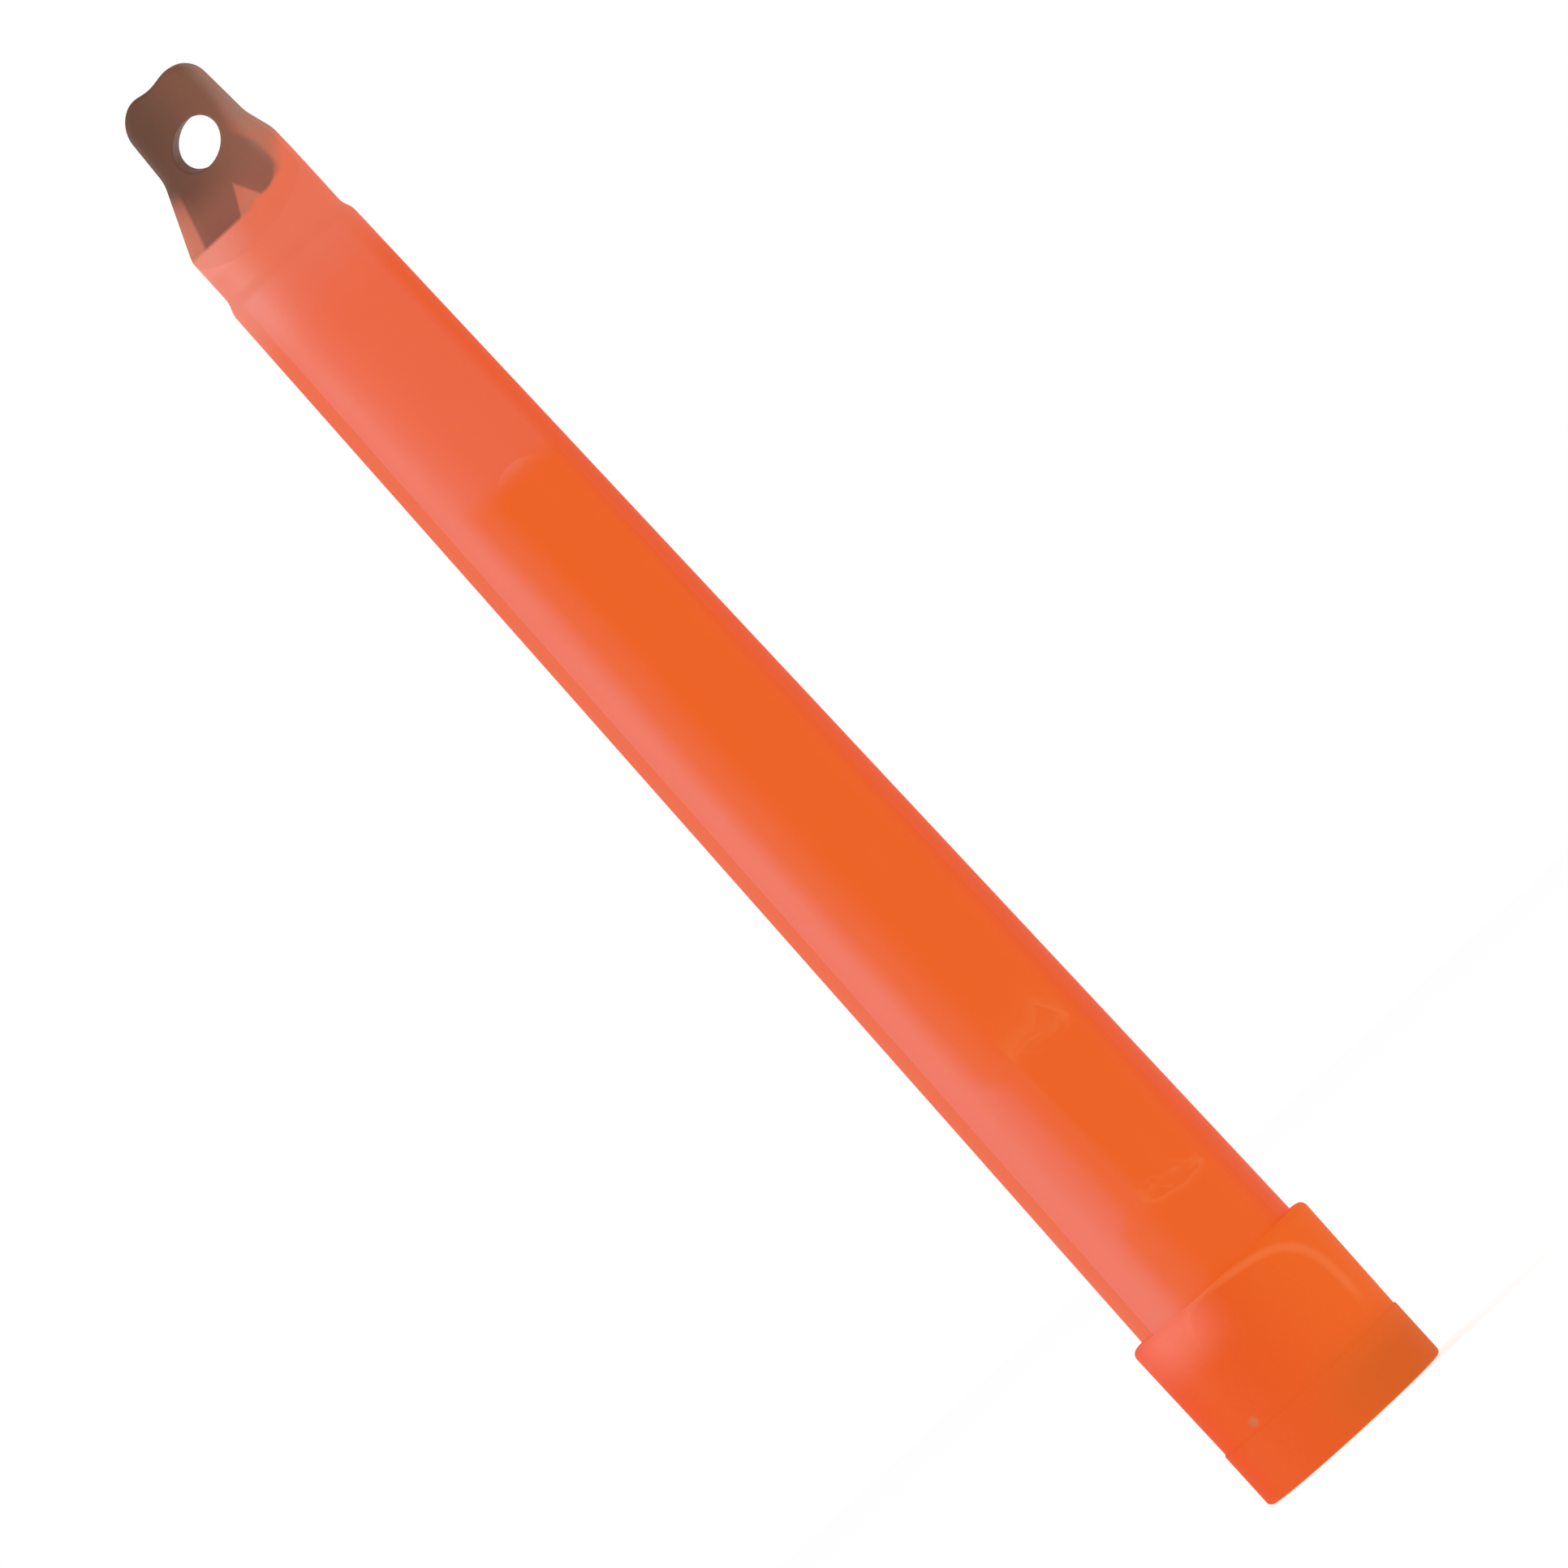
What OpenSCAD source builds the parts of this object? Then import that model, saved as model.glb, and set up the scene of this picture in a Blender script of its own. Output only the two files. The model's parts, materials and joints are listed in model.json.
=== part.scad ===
// Chemical light stick used as a small traffic baton, drawn after it has been snapped and lit.
// Millimetres. The stick stands on its cap: z = 0 is the cap's flat end, +Z runs up the tube
// to the hang tab, the tab lies in the XZ plane, and its hang hole runs along Y.

/* [Overall] */
// Length from the cap's flat end to the tip of the hang tab
overall_length = 150; // [140:1:185]

/* [Tube] */
// Outside diameter of the tube at its open end, inside the cap
tube_mouth_d = 16.9; // [16:0.1:20.5]
// Outside diameter of the tube at its top, below the neck
tube_top_d = 13.4; // [12.8:0.1:16]
// Thickness of the tube's wall
tube_wall = 1.1; // [0.9:0.05:1.4]

/* [Neck and shoulder] */
// How far the neck steps in from the tube's top
neck_step = 0.4; // [0.2:0.05:0.5]
// Height of the cone that leads from the tube's top to the neck
neck_step_h = 0.7; // [0.4:0.1:1.5]
// Height of the round neck, from the step to the shoulder
neck_h = 3; // [2.4:0.1:5]
// Height of the shoulder, where the front and back slope in to the flat tab
shoulder_h = 2.4; // [2:0.1:4]
// Diameter of the pointed tip of the bore, at its foot
bore_tip_d = 4; // [2:0.1:4.6]
// Height of the pointed tip of the bore
bore_tip_h = 4.4; // [2:0.1:5]

/* [Hang tab] */
// Length of the flat tab, from the shoulder to its tip
tab_length = 13.3; // [11.2:0.1:16]
// Height over which the tab's two sides run in from the neck's width
flare_h = 6.4; // [5:0.1:7.7]
// Width of the tab above the flare
tab_root_w = 8.9; // [8:0.1:10.6]
// Width of the tab at its tip
tab_tip_w = 8.1; // [7.4:0.1:10]
// Thickness of the tab
tab_t = 3; // [2.4:0.1:4]
// How far the tab's middle stands to the +X side of the tube's axis
tab_offset = 0.95; // [0:0.05:1.2]
// Radius of the tip's two corners
tab_corner_r = 1.7; // [0.8:0.1:2]
// Depth of the shallow dip across the tip
tip_dip = 0.3; // [0.1:0.05:0.5]
// Diameter of the hang hole
hang_hole_d = 4.4; // [3.4:0.1:5.2]
// Distance from the hang hole's centre to the tip
hang_hole_to_tip = 6.3; // [5.2:0.1:7.5]

/* [Cap] */
// Thickness of the cap's solid end
cap_floor = 5.7; // [4:0.1:7]
// Height of the cap's skirt, up the outside of the tube
cap_skirt_h = 11.5; // [8:0.1:15]
// Thickness of the skirt at its mouth
cap_wall = 1.25; // [0.9:0.05:1.8]
// How far the foot ring stands out from the root of the skirt
foot_step = 0.14; // [0.05:0.01:0.4]
// Radius of the skirt's rounded mouth
cap_mouth_r = 0.7; // [0.3:0.05:0.85]
// Radius of the foot's rounded edge
foot_edge_r = 0.45; // [0.2:0.05:1]

/* [Ampoule] */
// Outside diameter of the glass ampoule
ampoule_d = 6.2; // [5.2:0.1:7.6]
// Length of the ampoule before it is snapped
ampoule_length = 100.6; // [84:0.1:118]
// Thickness of the ampoule's glass
glass_t = 0.5; // [0.4:0.05:0.7]
// Which side of the tube the ampoule leans on, as an angle from +X towards +Y
lean_side = 55; // [0:5:90]
// Height of the lower break, above the ampoule's foot
lower_break = 19.5; // [16:0.1:24]
// Height of the upper break, above the ampoule's foot
upper_break = 36; // [32:0.1:43]
// Lean of the two breaks
break_lean = 14; // [4:1:18]
// Width of the cracks between pieces of glass
crack_w = 0.4; // [0.3:0.05:0.6]
// Lean of the cracks that run up between the splinters
crack_lean = 5; // [2:1:6]
// How far the splinters have shifted in or out
splinter_shift = 0.1; // [0:0.02:0.14]

/* [Liquid] */
// Air space above the liquid, below the closed end of the bore
headspace = 3.1; // [2.5:0.1:15]

/* [Clearances] */
// Gap between the cap's socket and the tube, which the weld fills
weld_gap = 0.03; // [0.02:0.01:0.06]
// Gap between the glass and the wall or floor that it rests on
glass_gap = 0.3; // [0.2:0.05:0.4]
// Gap between the liquid and everything round it
liquid_gap = 0.05; // [0.02:0.01:0.06]

/* [Hidden] */
$fn = 96;
far = 60; // a cutting block's side, wider than the stick

// Heights up the stick
z_seat = cap_floor + weld_gap; // the tube's open end
z_cap_mouth = cap_floor + cap_skirt_h;
z_tab = overall_length - tab_length;
z_flare = z_tab + flare_h;
z_bore_end = z_tab - shoulder_h; // the neck's top, level with the closed end of the bore
z_tube_top = z_bore_end - neck_h;
z_hole = overall_length - hang_hole_to_tip;
z_liquid = z_bore_end - headspace;

// The tube's straight taper, and the radii on it
taper = (tube_mouth_d - tube_top_d) / 2 / (z_tube_top - z_seat); // radius lost per millimetre
function tube_r(z) = tube_mouth_d / 2 - taper * (z - z_seat);
function bore_r(z) = tube_r(z) - tube_wall;
neck_r = tube_top_d / 2 - neck_step;
bore_end_r = 1; // rounding at the closed end of the bore
foot_r = tube_r(z_cap_mouth) + weld_gap + cap_wall; // the skirt's mouth is as wide

// The ampoule stands on the cap's floor and leans on one side of the tube, parallel to it
lean = atan(taper);
ampoule_r = ampoule_d / 2;
ampoule_off = bore_r(z_seat) - (ampoule_r + glass_gap) / cos(lean); // foot's distance from the axis
z_ampoule = cap_floor + glass_gap;

// The splinters share the space between the two breaks, which face different ways
splinters = 5;
turn = 360 / splinters;
upper_side = 20;
lower_side = 75;

// Points of an arc about c, from angle a to angle b
function arc(c, r, a, b, n = 8) =
  [for (i = [0:n]) c + r * [cos(a + (b - a) * i / n), sin(a + (b - a) * i / n)]];

// A straight cone or cylinder between two heights
module span(z0, z1, r0, r1) {
  translate([0, 0, z0])
    cylinder(h = z1 - z0, r1 = r0, r2 = r1);
}

// The hollow of the tube: a tapered bore whose closed end is rounded, with a pointed tip
module bore() {
  z_open = z_seat - 1;
  z_arc = z_bore_end - bore_end_r;
  rotate_extrude()
    polygon(concat(
      [[0, z_open], [bore_r(z_open), z_open]],
      arc([bore_r(z_arc) - bore_end_r, z_arc], bore_end_r, 0, 90),
      [[bore_tip_d / 2, z_bore_end], [0, z_bore_end + bore_tip_h]]
    ));
}

// Front outline of the shoulder and the tab, in X and Z
module tab_front() {
  half_root = tab_root_w / 2;
  half_tip = tab_tip_w / 2;
  z_corner = overall_length - tab_corner_r;
  polygon(concat(
    [[-neck_r, z_bore_end - 1], [neck_r, z_bore_end - 1], [neck_r, z_tab]],
    [[neck_r - 0.1, z_tab + flare_h * 0.6], [tab_offset + half_root, z_flare]],
    arc([tab_offset + half_tip - tab_corner_r, z_corner], tab_corner_r, 0, 90),
    [[tab_offset, overall_length - tip_dip]],
    arc([tab_offset - half_tip + tab_corner_r, z_corner], tab_corner_r, 90, 180),
    [[tab_offset - half_root, z_flare], [-neck_r, z_tab]]
  ));
}

// Side outline of the shoulder and the tab, in Y and Z
module tab_side() {
  half_t = tab_t / 2;
  polygon([
    [-neck_r, z_bore_end - 1], [neck_r, z_bore_end - 1], [neck_r, z_bore_end],
    [half_t, z_tab], [half_t, overall_length], [-half_t, overall_length],
    [-half_t, z_tab], [-neck_r, z_bore_end]
  ]);
}

// One moulding: tube, neck, shoulder and flat hang tab, closed at the top
module outer_tube() {
  color([0.93, 0.4, 0.2, 0.6])
    difference() {
      union() {
        span(z_seat, z_tube_top, tube_mouth_d / 2, tube_top_d / 2);
        span(z_tube_top, z_tube_top + neck_step_h, tube_top_d / 2, neck_r);
        span(z_tube_top + neck_step_h, z_bore_end, neck_r, neck_r);
        intersection() {
          span(z_bore_end - 1, overall_length, neck_r, neck_r);
          rotate([90, 0, 0])
            linear_extrude(height = far, center = true) tab_front();
          rotate([90, 0, 90])
            linear_extrude(height = far, center = true) tab_side();
        }
      }
      bore();
      translate([tab_offset, 0, z_hole])
        rotate([90, 0, 0])
          cylinder(h = far, d = hang_hole_d, center = true);
    }
}

// Cup-shaped cap, welded over the tube's open end, whose solid end is the stick's foot
module end_cap() {
  color([0.93, 0.38, 0.16, 0.8])
    rotate_extrude()
      polygon(concat(
        [[0, 0]],
        arc([foot_r - foot_edge_r, foot_edge_r], foot_edge_r, -90, 0, 6),
        [[foot_r, cap_floor - foot_step], [foot_r - foot_step, cap_floor]],
        arc([foot_r - cap_mouth_r, z_cap_mouth - cap_mouth_r], cap_mouth_r, 0, 90),
        [[tube_r(z_cap_mouth) + weld_gap, z_cap_mouth]],
        [[tube_r(cap_floor) + weld_gap, cap_floor], [0, cap_floor]]
      ));
}

// Places its children in the ampoule's own frame: its foot at the origin, its length along Z
module on_ampoule_line() {
  rotate([0, 0, lean_side])
    translate([ampoule_off, 0, z_ampoule])
      rotate([0, -lean, 0])
        children();
}

// A closed vial with round ends, smaller than the ampoule's outside by inset all round
module vial(inset) {
  rotate_extrude()
    polygon(concat(
      arc([0, ampoule_r], ampoule_r - inset, -90, 0, 16),
      arc([0, ampoule_length - ampoule_r], ampoule_r - inset, 0, 90, 16)
    ));
}

// The whole wall of the ampoule, as it was before the snap, grown by extra on both faces
module ampoule_wall(extra = 0) {
  difference() {
    vial(-extra);
    vial(glass_t + extra);
  }
}

// The half of space above a break at height z, leaning by angle a towards the given side
module above(z, a, side) {
  translate([0, 0, z])
    rotate([0, 0, side])
      rotate([0, a, 0])
        translate([-far / 2, -far / 2, 0])
          cube([far, far, 3 * ampoule_length]);
}

// The half of space on one side of the crack that runs up between splinters n and n + 1
module beside_crack(n, way) {
  mid = (lower_break + upper_break) / 2;
  leans = n % 2 == 0 ? crack_lean : -crack_lean;
  translate([0, 0, mid])
    rotate([leans, 0, turn * (n + 0.5)])
      translate([-far / 2, way > 0 ? crack_w / 2 : -far - crack_w / 2, -far / 2])
        cube([far, far, far]);
}

// Long upper part of the ampoule, broken off on a slant with a notch up one side
module ampoule_top() {
  notch = ampoule_r;
  color([0.85, 0.9, 0.9, 0.5])
    on_ampoule_line()
      difference() {
        intersection() {
          ampoule_wall();
          above(upper_break, break_lean, upper_side);
        }
        translate([0, 0, upper_break])
          rotate([0, 0, upper_side - 120])
            rotate([45, 0, 0])
              translate([0, -notch / 2, -notch / 2])
                cube([far, notch, notch]);
      }
}

// Short lower part of the ampoule, standing on the cap's floor
module ampoule_bottom() {
  color([0.85, 0.9, 0.9, 0.5])
    on_ampoule_line()
      difference() {
        ampoule_wall();
        above(lower_break, -break_lean, lower_side);
      }
}

// One splinter: a long curved strip of the wall between the breaks, shifted in or out
module splinter(n) {
  out = n % 2 == 0 ? -splinter_shift : splinter_shift;
  color([0.85, 0.9, 0.9, 0.5])
    on_ampoule_line()
      translate(out * [cos(turn * n), sin(turn * n), 0])
        difference() {
          intersection() {
            ampoule_wall();
            above(lower_break + crack_w, -break_lean, lower_side);
            beside_crack((n + splinters - 1) % splinters, 1);
            beside_crack(n, -1);
          }
          above(upper_break - crack_w, break_lean, upper_side);
        }
}

module splinter_1() {
  splinter(0);
}

module splinter_2() {
  splinter(1);
}

module splinter_3() {
  splinter(2);
}

module splinter_4() {
  splinter(3);
}

module splinter_5() {
  splinter(4);
}

// The glowing liquid fills the bore round and inside the glass, up to its level
module glowing_liquid() {
  z_bottom = cap_floor + liquid_gap;
  room = splinter_shift + liquid_gap;
  break_reach = ampoule_r * tan(break_lean) + liquid_gap;
  color([1, 0.42, 0.2, 0.7])
    difference() {
      span(z_bottom, z_liquid, bore_r(z_bottom) - liquid_gap, bore_r(z_liquid) - liquid_gap);
      on_ampoule_line() {
        ampoule_wall(liquid_gap);
        difference() {
          span(lower_break - break_reach, upper_break + break_reach,
               ampoule_r + room, ampoule_r + room);
          span(lower_break - break_reach - 1, upper_break + break_reach + 1,
               ampoule_r - glass_t - room, ampoule_r - glass_t - room);
        }
      }
    }
}

outer_tube();
end_cap();
ampoule_top();
ampoule_bottom();
splinter_1();
splinter_2();
splinter_3();
splinter_4();
splinter_5();
glowing_liquid();
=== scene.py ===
import json
import math

import bpy
import numpy as np
from mathutils import Matrix, Vector


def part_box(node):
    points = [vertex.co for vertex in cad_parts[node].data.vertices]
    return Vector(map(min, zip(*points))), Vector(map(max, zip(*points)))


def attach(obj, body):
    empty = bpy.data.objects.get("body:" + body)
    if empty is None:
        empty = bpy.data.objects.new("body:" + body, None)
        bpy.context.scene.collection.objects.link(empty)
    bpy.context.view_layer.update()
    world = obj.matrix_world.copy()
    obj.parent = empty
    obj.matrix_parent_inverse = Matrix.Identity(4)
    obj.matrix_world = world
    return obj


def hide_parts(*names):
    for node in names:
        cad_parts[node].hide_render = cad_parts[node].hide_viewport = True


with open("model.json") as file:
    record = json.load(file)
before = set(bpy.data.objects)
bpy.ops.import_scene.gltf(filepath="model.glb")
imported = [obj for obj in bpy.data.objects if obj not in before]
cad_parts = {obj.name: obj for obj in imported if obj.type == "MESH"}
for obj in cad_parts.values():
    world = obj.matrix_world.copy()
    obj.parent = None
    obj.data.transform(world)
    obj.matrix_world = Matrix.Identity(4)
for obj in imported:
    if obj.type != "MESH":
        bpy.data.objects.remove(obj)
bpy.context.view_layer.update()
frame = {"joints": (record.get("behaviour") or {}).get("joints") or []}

# Looks of the chemical light stick. It stands on its cap, +Z runs up the tube to the hang tab, and
# the tab lies in the XZ plane. Sizes are in metres. The outside sizes, the ampoule's place and the
# line that it slides along come from the frame. The walls, the neck, the tab and the glass's
# breaks are set here, and don't follow a changed CAD.
MM = 0.001
AROUND = 192  # points round the tube, the cap and the liquid

TUBE_LOW, TUBE_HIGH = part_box("outer_tube")
CAP_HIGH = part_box("end_cap")[1]
LIQUID_LOW, LIQUID_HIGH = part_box("glowing_liquid")
FOOT_LOW, FOOT_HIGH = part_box("ampoule_bottom")
DOME_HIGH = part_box("ampoule_top")[1]
SLIDE = next(j for j in frame["joints"] if j["name"] == "ampoule_top_slide")

# Tube
SEAT = TUBE_LOW.z
LENGTH = TUBE_HIGH.z
MOUTH_R = TUBE_HIGH.x
WALL = 1.1 * MM
TUBE_TOP = LENGTH - 18.7 * MM
TUBE_TOP_R = 6.7 * MM
TAPER = (MOUTH_R - TUBE_TOP_R) / (TUBE_TOP - SEAT)
NECK_R = 6.3 * MM
NECK_STEP_H = 0.7 * MM
BORE_END = LENGTH - 15.7 * MM
BORE_END_ROUND = 1 * MM
BORE_TIP_R = 2 * MM
BORE_TIP_H = 4.4 * MM

# Hang tab
TAB_FOOT = LENGTH - 13.3 * MM
FLARE_END = TAB_FOOT + 6.4 * MM
TAB_X = 0.95 * MM
TAB_HALF_ROOT = 4.45 * MM
TAB_HALF_TIP = 4.05 * MM
TAB_HALF_T = 1.5 * MM
TAB_RIGHT_R = 2.2 * MM  # the tip's corners, both drawn rounder than in the CAD
TAB_LEFT_R = 2.8 * MM
TAB_EDGE_R = 0.4 * MM
TIP_DIP = 0.3 * MM
TIP_DIP_W = 1.4 * MM
TIP_DIP_RUN = 2.5 * MM  # the dip fades in over this much of the tab below the tip
HOLE_R = 2.2 * MM
HOLE_Z = LENGTH - 6.3 * MM
HOLE_LIP = 0.15 * MM
HOLE_STRETCH = 1.13  # oval, where the CAD's hole is round, and long on a line leaning up from +X
HOLE_LEAN = math.radians(25)
PLUG_HALF = 3 * MM

# Cap
CAP_FLOOR = 5.7 * MM
CAP_MOUTH = CAP_HIGH.z
CAP_R = CAP_HIGH.x
FOOT_STEP = 0.14 * MM
FOOT_ROUND = 0.45 * MM
MOUTH_ROUND = 0.7 * MM
WELD_GAP = 0.03 * MM
GATE = Vector((-4.05 * MM, 0, 6.45 * MM))  # the gate mark, on the front
GATE_R = 0.45 * MM
GATE_DEPTH = 0.22 * MM
GATE_EDGE = 0.05 * MM

# Ampoule
AMPOULE_R = 3.1 * MM
GLASS_T = 0.5 * MM
LOWER_BREAK = 19.5 * MM
UPPER_BREAK = 36 * MM
BREAK_SLOPE = math.tan(math.radians(14))
LOWER_SIDE = math.radians(75)
UPPER_SIDE = math.radians(20)
NOTCH_SIDE = math.radians(-100)
NOTCH_H = 2.19 * MM
CRACK_W = 0.4 * MM
CRACK_SLOPE = math.tan(math.radians(5))
SPLINTERS = 5
SHIFT = 0.1 * MM
AXIS = np.array(SLIDE["axis"], float)
AMPOULE_FOOT = np.array([FOOT_HIGH.x - AMPOULE_R, FOOT_HIGH.y - AMPOULE_R, FOOT_LOW.z])
AMPOULE_LENGTH = (DOME_HIGH.z - FOOT_LOW.z) / AXIS[2]

# Liquid
LEVEL = LIQUID_HIGH.z
LIQUID_GAP = 0.05 * MM
CLIMB_H = 0.6 * MM  # how far the surface climbs at the wall, and over what distance
CLIMB_W = 0.7 * MM

# Floor
FLOOR_DROP = 0.05 * MM
FLOOR_T = 4 * MM


# ---------------------------------------------------------------- surfaces


def rows_to_mesh(name, rows, start=None, end=None, rim=None):
    """A closed skin over rows of points: each row is a loop that joins the next one with four-sided
    faces, and the first and last loops close on the points start and end. rim is a number for
    each row, kept as an attribute for the finish to read; the glass's finish paints a highlight
    where it is high."""
    count, around = rows.shape[:2]
    points = rows.reshape(-1, 3)
    row = np.arange(count - 1)[:, None] * around
    here = np.arange(around)[None, :]
    after = (here + 1) % around
    quads = np.stack(
        [row + here, row + after, row + around + after, row + around + here], axis=-1
    ).reshape(-1, 4)
    here, after = here[0], after[0]
    first = np.stack([after, here, np.full(around, len(points))], axis=-1)
    last_row = (count - 1) * around
    last = np.stack([last_row + here, last_row + after, np.full(around, len(points) + 1)], axis=-1)
    points = np.concatenate([points, [start], [end]])
    fans = np.concatenate([first, last])
    corners = np.concatenate([quads[:, [0, 1, 2]], quads[:, [0, 2, 3]], fans])
    a, b, c = (points[corners[:, i]] for i in range(3))
    if np.einsum("ij,ij->", a, np.cross(b, c)) < 0:
        quads, fans = quads[:, ::-1], fans[:, ::-1]
    mesh = bpy.data.meshes.new(name)
    mesh.from_pydata(points.tolist(), [], quads.tolist() + fans.tolist())
    mesh.shade_smooth()
    if rim is not None:
        values = np.concatenate([np.repeat(np.asarray(rim, float), around), [rim[0], rim[-1]]])
        mesh.attributes.new("rim", "FLOAT", "POINT").data.foreach_set("value", values)
    thing = bpy.data.objects.new(name, mesh)
    bpy.context.scene.collection.objects.link(thing)
    return thing


def straight(p, q, steps):
    """Points of a straight run in radius and height from p to just before q."""
    share = np.arange(steps)[:, None] / steps
    return np.array(p) * (1 - share) + np.array(q) * share


def bend(centre, radius, start, end, steps):
    """Points of an arc in radius and height: centre plus radius times the cosine and sine of an
    angle in degrees that runs from start to end."""
    angle = np.radians(np.linspace(start, end, steps + 1))[:, None]
    return np.array(centre) + radius * np.concatenate([np.cos(angle), np.sin(angle)], axis=1)


def turned(profile, around=AROUND):
    """Rows of a turned surface: each radius r and height z of the profile becomes the loop
    (r cos t, r sin t, z)."""
    angle = np.arange(around) * (2 * np.pi / around)
    radius, height = profile[:, :1], profile[:, 1:]
    flat = [radius * np.cos(angle), radius * np.sin(angle), height + 0 * angle]
    return np.stack(flat, axis=-1)


def tube_r(z):
    """Outside radius of the tube: it falls in a straight line with height."""
    return MOUTH_R - TAPER * (z - SEAT)


def softened(z, corners, width):
    """Heights z looked up on the straight-sided outline through corners, averaged over a window
    of the given width, which rounds the outline's corners."""
    window = np.linspace(-width / 2, width / 2, 13)
    height, size = np.array(corners).T
    return np.interp(z[:, None] + window, height, size).mean(axis=1)


def rounded_off(z, radius):
    """How far a side draws in near the tab's tip to follow an arc of the given radius."""
    share = np.clip((z - LENGTH + radius) / radius, 0, 1)
    return radius * (1 - np.sqrt(1 - share**2))


def tube_bore_profile():
    """The hollow of the tube in radius and height: down from the pointed tip, round the closed
    end's edge, and down the tapered wall to the open end."""
    z_round = BORE_END - BORE_END_ROUND
    r_round = tube_r(z_round) - WALL
    return np.concatenate([
        straight((0.12 * MM, BORE_END + BORE_TIP_H), (BORE_TIP_R, BORE_END), 10),
        straight((BORE_TIP_R, BORE_END), (r_round - BORE_END_ROUND, BORE_END), 6),
        bend((r_round - BORE_END_ROUND, z_round), BORE_END_ROUND, 90, 0, 8),
        straight((r_round, z_round), (MOUTH_R - WALL, SEAT), 60)[1:],
        [(MOUTH_R - WALL, SEAT)],
    ])


def tube_outside_rows():
    """The tube from its open end to the tab's tip. Each row is a loop with half-width a and
    half-thickness b about the line x = c: a point in direction t is (a cos t, b sin t) over the
    n-norm of (cos t, sin t). n is 2 on the round tube and neck, and
    7 on the shoulder and the tab, where each point is also held inside the neck's circle. Near
    the tip the sides follow the corner arcs, and the middle dips by the dip's depth times e to the
    minus square of the distance from the tab's middle over the dip's width."""
    tip = LENGTH - TAB_LEFT_R
    z = np.concatenate([
        np.linspace(SEAT, TUBE_TOP - 1 * MM, 60)[:-1],
        np.linspace(TUBE_TOP - 1 * MM, tip, 118)[:-1],
        tip + TAB_LEFT_R * np.sin(np.radians(np.linspace(0, 90, 17))),
    ])
    top = [(TUBE_TOP, TUBE_TOP_R), (TUBE_TOP + NECK_STEP_H, NECK_R)]
    below = SEAT - 9 * MM
    tube = [(below, tube_r(below))] + top
    right = tube + [
        (TAB_FOOT, NECK_R), (TAB_FOOT + 3.84 * MM, NECK_R - 0.1 * MM),
        (FLARE_END, TAB_X + TAB_HALF_ROOT), (LENGTH, TAB_X + TAB_HALF_TIP),
    ]
    left = tube + [
        (TAB_FOOT, NECK_R), (FLARE_END, TAB_HALF_ROOT - TAB_X), (LENGTH, TAB_HALF_TIP - TAB_X),
    ]
    front = tube + [(BORE_END, NECK_R), (TAB_FOOT, TAB_HALF_T), (LENGTH, TAB_HALF_T)]
    to_right = softened(z, right, 0.9 * MM)
    to_left = softened(z, left, 1.1 * MM)
    b = softened(z, front, 0.7 * MM)
    plain = z < TUBE_TOP - 0.5 * MM
    to_right = np.where(plain, tube_r(z), to_right)
    to_left = np.where(plain, tube_r(z), to_left)
    b = np.where(plain, tube_r(z), b)
    to_right = to_right - rounded_off(z, TAB_RIGHT_R)
    to_left = to_left - rounded_off(z, TAB_LEFT_R)
    b = b - rounded_off(z, TAB_EDGE_R)
    a = (to_right + to_left) / 2
    c = (to_right - to_left) / 2
    n = np.where(z > BORE_END - 0.4 * MM, 7.0, 2.0)
    shrink = np.array([0.82, 0.5, 0.2])
    a = np.concatenate([a, a[-1] * shrink])[:, None]
    b = np.concatenate([b, b[-1] * shrink])[:, None]
    c, n, z = (np.concatenate([v, np.full(3, v[-1])])[:, None] for v in (c, n, z))
    angle = np.arange(AROUND) * (2 * np.pi / AROUND)
    cos, sin = np.cos(angle), np.sin(angle)
    size = (np.abs(cos) ** n + np.abs(sin) ** n) ** (1 / n)
    x, y = c + a * cos / size, b * sin / size
    held = np.minimum(1, np.where(n > 2, NECK_R, 1) / np.hypot(x, y))
    x, y = x * held, y * held
    dip = TIP_DIP * np.exp(-(((x - TAB_X) / TIP_DIP_W) ** 2))
    height = z - dip * np.clip((z - LENGTH + TIP_DIP_RUN) / TIP_DIP_RUN, 0, 1)
    return np.stack([x, y, height], axis=-1)


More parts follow.
